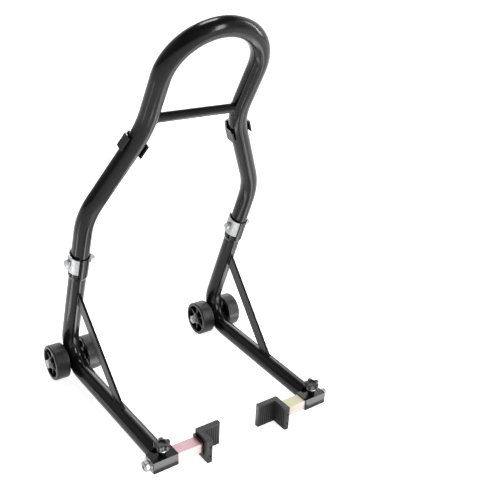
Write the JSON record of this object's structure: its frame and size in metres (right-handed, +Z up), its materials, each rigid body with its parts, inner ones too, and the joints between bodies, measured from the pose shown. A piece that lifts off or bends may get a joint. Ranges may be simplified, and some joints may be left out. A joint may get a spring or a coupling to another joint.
{
  "type": "paddock stand",
  "caption": "Rear motorcycle paddock stand: bent tube frame with a handle hoop, braced legs on wheels, sliding adapters and L-shaped rubber pads.",
  "frame": {"origin": "centre of the floor area that the stand covers, on the floor", "axes": "+Z up, -Y towards the lifting pads, +Y towards the wheels, +X to the right seen from the pads' side looking along +Y"},
  "size_m": [0.4672, 0.434, 0.764],
  "materials": {
    "black_paint": "black powder coat with a soft gloss",
    "zinc_plate": "bright zinc plating",
    "yellow_zinc": "yellow chromated zinc with a pink and green sheen",
    "black_rubber": "matte moulded rubber",
    "black_plastic": "moulded nylon with a satin surface",
    "bush_nylon": "natural nylon"
  },
  "bodies": {
    "frame": {"hoop_tube": "black_paint", "cross_bar": "black_paint", "leg_tube_left": "black_paint", "brace_left": "black_paint", "axle_sleeve_left": "black_paint", "neck_bracket_left": "black_paint", "adapter_socket_left": "black_paint", "joint_saddle_left": "zinc_plate", "knob_nut_left": "black_paint", "leg_tube_right": "black_paint", "brace_right": "black_paint", "axle_sleeve_right": "black_paint", "neck_bracket_right": "black_paint", "adapter_socket_right": "black_paint", "joint_saddle_right": "zinc_plate", "knob_nut_right": "black_paint", "joint_bolts": "zinc_plate", "joint_washers": "zinc_plate", "joint_nuts": "zinc_plate", "axle_bolts": "zinc_plate", "axle_washers": "zinc_plate", "axle_spacers": "zinc_plate", "axle_nuts": "zinc_plate"},
    "wheel_left_outer_body": {"wheel_left_outer": "black_plastic", "wheel_bush_left_outer": "bush_nylon"},
    "wheel_left_inner_body": {"wheel_left_inner": "black_plastic", "wheel_bush_left_inner": "bush_nylon"},
    "adapter_left_body": {"adapter_tube_left": "yellow_zinc", "adapter_plug_left": "yellow_zinc", "stop_washer_left": "zinc_plate", "lock_washer_left": "zinc_plate", "stop_bolt_left": "zinc_plate", "pad_plate_left": "black_paint", "rubber_pad_left": "black_rubber"},
    "knob_washer_left_body": {"knob_washer_left": "zinc_plate"},
    "knob_left_body": {"star_knob_left": "black_plastic", "knob_stud_left": "zinc_plate"},
    "wheel_right_outer_body": {"wheel_right_outer": "black_plastic", "wheel_bush_right_outer": "bush_nylon"},
    "wheel_right_inner_body": {"wheel_right_inner": "black_plastic", "wheel_bush_right_inner": "bush_nylon"},
    "adapter_right_body": {"adapter_tube_right": "yellow_zinc", "adapter_plug_right": "yellow_zinc", "stop_washer_right": "zinc_plate", "lock_washer_right": "zinc_plate", "stop_bolt_right": "zinc_plate", "pad_plate_right": "black_paint", "rubber_pad_right": "black_rubber"},
    "knob_washer_right_body": {"knob_washer_right": "zinc_plate"},
    "knob_right_body": {"star_knob_right": "black_plastic", "knob_stud_right": "zinc_plate"}
  },
  "joints": [
    {"name": "wheel_left_outer_spin", "type": "hinge", "parent": "frame", "child": "wheel_left_outer_body", "pos_m": [-0.21215, 0.1795, 0.0375], "axis": [1, 0, 0], "continuous": true},
    {"name": "wheel_left_inner_spin", "type": "hinge", "parent": "frame", "child": "wheel_left_inner_body", "pos_m": [-0.14185, 0.1795, 0.0375], "axis": [1, 0, 0], "continuous": true},
    {"name": "adapter_left_slide", "type": "slide", "parent": "frame", "child": "adapter_left_body", "axis": [-1, 0, 0], "range_m": [0, 0.048]},
    {"name": "knob_left_lift", "type": "slide", "parent": "frame", "child": "knob_washer_left_body", "axis": [0, 0, 1], "range_m": [0, 0.0025]},
    {"name": "knob_left_turn", "type": "hinge", "parent": "knob_washer_left_body", "child": "knob_left_body", "pos_m": [-0.171, -0.187, 0.0525], "axis": [0, 0, 1], "range_deg": [0, 720]},
    {"name": "wheel_right_outer_spin", "type": "hinge", "parent": "frame", "child": "wheel_right_outer_body", "pos_m": [0.21215, 0.1795, 0.0375], "axis": [1, 0, 0], "continuous": true},
    {"name": "wheel_right_inner_spin", "type": "hinge", "parent": "frame", "child": "wheel_right_inner_body", "pos_m": [0.14185, 0.1795, 0.0375], "axis": [1, 0, 0], "continuous": true},
    {"name": "adapter_right_slide", "type": "slide", "parent": "frame", "child": "adapter_right_body", "axis": [1, 0, 0], "range_m": [0, 0.048]},
    {"name": "knob_right_lift", "type": "slide", "parent": "frame", "child": "knob_washer_right_body", "axis": [0, 0, 1], "range_m": [0, 0.0025]},
    {"name": "knob_right_turn", "type": "hinge", "parent": "knob_washer_right_body", "child": "knob_right_body", "pos_m": [0.171, -0.187, 0.0525], "axis": [0, 0, 1], "range_deg": [0, 720]}
  ],
  "couplings": [
    {"joint": "knob_left_turn", "follows": "knob_left_lift", "rad_per_m": 5026.6},
    {"joint": "knob_right_turn", "follows": "knob_right_lift", "rad_per_m": 5026.6}
  ]
}
